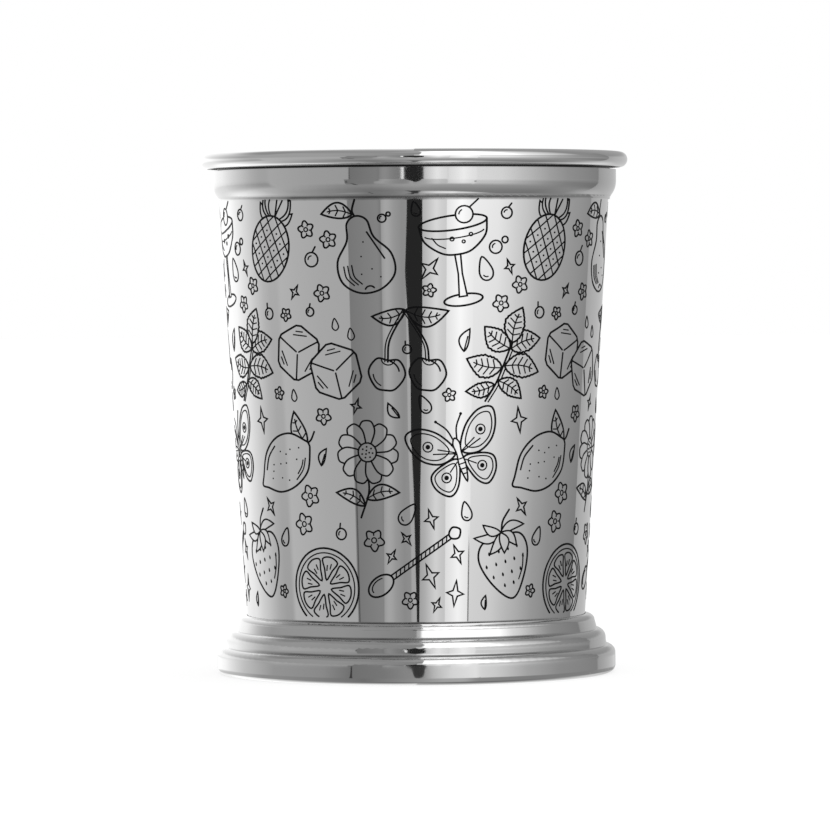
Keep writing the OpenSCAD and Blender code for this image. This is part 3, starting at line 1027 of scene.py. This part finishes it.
# The room, from far to near: walls, ceiling and table, then the window on the left, the softboxes
# on the right, and the stands between them
panel("surround", ((-180, 1.15), (-160, 1.05), (-128, 0.64), (-108, 0.42), (-50, 0.4), (0, 0.3), (60, 0.33),
                   (120, 0.3), (180, 0.42)), (-90, 90), 4.0)
panel("ceiling", ((-180, 0.5), (-140, 0.36), (-30, 0.32), (0, 0.4), (180, 0.33)), (45, 90), 3.9, (0, 15, 0))
panel("table_tone", ((-180, 1.25), (-140, 1.1), (-108, 0.58), (-92, 0.46), (-38, 0.27), (-28, 0.27),
                     (0, 0.38), (44, 0.35), (95, 0.26), (118, 0.29), (150, 0.64), (180, 0.8)),
      (-90, -8), 3.85, (0, 0, 4), by_elevation=((-70, 0.72), (-45, 0.94), (-33, 1.14), (-25, 1.2)))
panel("left_wall", ((-180, 1.3), (-145, 1.2), (-104, 0.57), (-60, 0.47), (-35, 0.44)), (-28, 12), 3.7,
      (0, 15, 9))
panel("left_far", ((-181, 1.32), (-140, 1.17), (-120, 0.835), (-104.5, 0.575), (-98, 0.51), (-88, 0.5)),
      (-28, 12), 3.65, (5, 15, 9), by_height=((-3.9, 0.8), (-1.6, 0.92), (1.7, 1)))
panel("left_dark", ((-39.8, 0.222), (-21.5, 0.275), (-20.4, 0.24), (-16, 0.235)), (-28, 18), 3.5,
      (0.6, 12, 8), shift=((-3, 0), (2, 3.6)))
panel("near_left", ((-19.6, 0.37), (-17, 0.455), (-15, 0.44), (-12, 0.37), (-7, 0.31), (-3, 0.33)), (-28, 18),
      3.4, (0.4, 12, 8), by_elevation=((-3, 1), (1, 0.77)), shift=((-12, -2.8), (-8, 0)))
strip("glint", ((-13, -1.6, 1.0), (-11.5, -1.9, 1.0), (-10.5, -2.6, 0.5), (-8.6, -4.5, -2), (-7.2, -4.9, -3),
                (-6.3, -5.3, -4)), 0.45, 3.3)
strip("glint_high", ((-3, -6.0, -5.0), (1, -7.0, -5.2), (5, -7.0, -5.2), (8, -6.6, -5.2)), 1.1, 3.3)
panel("near_right", ((0, 0.42), (6, 0.565), (13, 0.85), (16.6, 0.76), (19.4, 0.73)), (-30, 30), 3.2,
      (0.5, 14, 3), by_height=((-3.9, 0.9), (1.7, 1)), by_elevation=((-4.5, 1), (-0.5, 1.3)))
panel("softbox_side", ((34, 1.06), (51, 0.98), (64, 0.77), (83, 0.525), (97, 0.42), (130, 0.305)),
      (-30, 30), 3.1, (0.4, 16, 4), by_height=((-3.9, 0.72), (-1.6, 0.84), (1.7, 1)),
      by_elevation=((0, 1), (4, 0.82)))
panel("right_wall", ((129.6, 0.43), (139, 0.49), (181, 0.65)), (-30, 14), 3.05, (0.4, 16, 10))
panel("softbox", ((18.9, 0.95), (23.6, 1.07), (28, 1.2), (33, 1.07), (36, 1.03)), (-28, 80), 3.0,
      (0.5, 14, 4), by_height=((-3.9, 0.9), (1.7, 1)))
panel("softbox_top", ((2.6, 1.45), (24, 1.6), (56, 1.5), (66, 1.02), (104, 0.42)), (14, 82), 2.9,
      (1.5, 8, 12), shift=((30, 0), (70, 4)))
panel("upper_left", ((-181, 0.75), (-150, 0.42), (-130, 0.3), (-95, 0.32)), (28, 82), 2.9, (8, 16, 16))
panel("left_pole", ((-38.9, 0.1), (-37.7, 0.1)), (-14, -8.2), 2.8, (0.3, 0.6, 0.6))
panel("left_pole_high", ((-36.8, 0.12), (-35.8, 0.12)), (0.5, 5), 2.8, (0.3, 0.6, 0.6))
strip("left_tick", ((-25, -34.5, -33), (-21, -36.5, -33.5), (-17, -37.3, -36)), 0.06, 2.75)
panel("right_pole", ((34.5, 0.2), (35.7, 0.2)), (-14, -9.6), 2.7, (0.3, 0.4, 0.4))
# The dark outline of the camera on its stand, narrow below and wide above
strip("camera_flag", ((-13, 0.7, 1.8), (-11.5, 0.45, 2.15), (-10.5, -0.5, 2.75), (-9.6, -1.1, 3.05),
                      (-8.6, -2.6, 4.0), (-7.7, -2.6, 4.4), (-6.7, -3.8, 4.7), (-5.8, -5.5, 4.8),
                      (-4.8, -4.0, 4.9), (0, -5.5, 5.5), (8, -5.4, 5.4), (11, -4.6, 4.6), (13, -3.0, 3.0),
                      (13.8, -0.8, 0.8)), 0.022, 1.5)
table_near()
table_dark_patch("drip", ((16.5, 0.1, 0.9), (18.5, -0.45, 1.5), (22, -0.7, 1.9), (30, -0.95, 2.2), (40, -1.2, 2.3),
                    (46, -1.7, 2.6), (51, -2.4, 3.0), (56, -3.1, 3.1)))
table_dark_patch("hook", ((8.5, -20.1, -17.9), (11, -19.9, -17.9), (13.5, -19.5, -18.1), (17, -19.2, -18.35),
                    (22, -19.05, -18.45), (50, -18.85, -18.45)))
table_dark_patch("notch", ((10, 17.2, 18.3), (13, 17.4, 18.3), (16, 18.0, 18.3)))


# Floor, world and camera

FLOOR_RADIUS = 6.0


def build_floor():
    material, _, shader = new_material("floor")
    shader.inputs["Base Color"].default_value = (0.3, 0.3, 0.3, 1)
    shader.inputs["Roughness"].default_value = 1.0
    shader.inputs["Specular IOR Level"].default_value = 0.0
    shader.inputs["Emission Color"].default_value = (1, 1, 1, 1)
    shader.inputs["Emission Strength"].default_value = 0.76
    places = [(corner.real, corner.imag, 0) for corner in ring(0, FLOOR_RADIUS, steps=64)]
    floor = new_object("floor", places, [range(len(places))], material)
    floor.visible_glossy = False


def build_world():
    world = bpy.data.worlds.new("studio")
    world.use_nodes = True
    tree = world.node_tree
    background = tree.nodes["Background"]
    background.inputs["Color"].default_value = (1, 1, 1, 1)
    background.inputs["Strength"].default_value = 1.0
    bpy.context.scene.world = world


CAMERA_DISTANCE, CAMERA_HEIGHT, AIM_HEIGHT = 1.168, 0.0809, 0.052
FOCAL_PX, FRAME_PX, SENSOR_MM = 5772, 830, 36
ROLL = math.radians(-0.33)


def build_camera():
    data = bpy.data.cameras.new("camera")
    data.sensor_width = SENSOR_MM
    data.lens = FOCAL_PX / FRAME_PX * SENSOR_MM
    data.clip_start, data.clip_end = 0.05, 50
    camera = bpy.data.objects.new("camera", data)
    bpy.context.scene.collection.objects.link(camera)
    place = Vector((0, -CAMERA_DISTANCE, CAMERA_HEIGHT))
    look = Vector((0, 0, AIM_HEIGHT)) - place
    turn = look.to_track_quat("-Z", "Y").to_matrix() @ Matrix.Rotation(ROLL, 3, "Z")
    camera.matrix_world = Matrix.Translation(place) @ turn.to_4x4()
    bpy.context.scene.camera = camera


build_floor()
build_world()
build_camera()
bpy.context.scene.view_settings.view_transform = "Standard"
